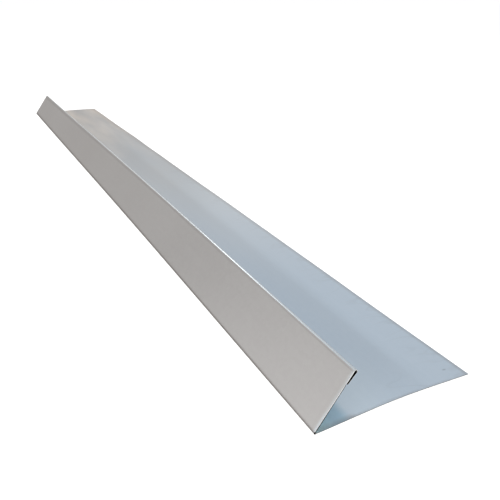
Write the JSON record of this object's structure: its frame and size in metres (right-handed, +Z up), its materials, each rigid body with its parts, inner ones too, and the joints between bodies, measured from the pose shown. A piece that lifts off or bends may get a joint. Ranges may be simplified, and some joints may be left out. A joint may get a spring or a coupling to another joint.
{
  "type": "rain diverter flashing",
  "caption": "Long galvanised sheet strip folded to an acute V: a wide flat roof flange and a leaning upstand with an open hemmed top edge, which turns roof water aside.",
  "frame": {"origin": "underside of the flange, at the middle of the length and of the flange's width", "axes": "+X along the strip, +Y across the flange from the fold to the free edge, +Z up from the roof face"},
  "size_m": [1.2192, 0.1396, 0.0421],
  "materials": {
    "galvanised_sheet": "satin"
  },
  "bodies": {
    "root": {"diverter_flashing": "galvanised_sheet"}
  },
  "joints": []
}
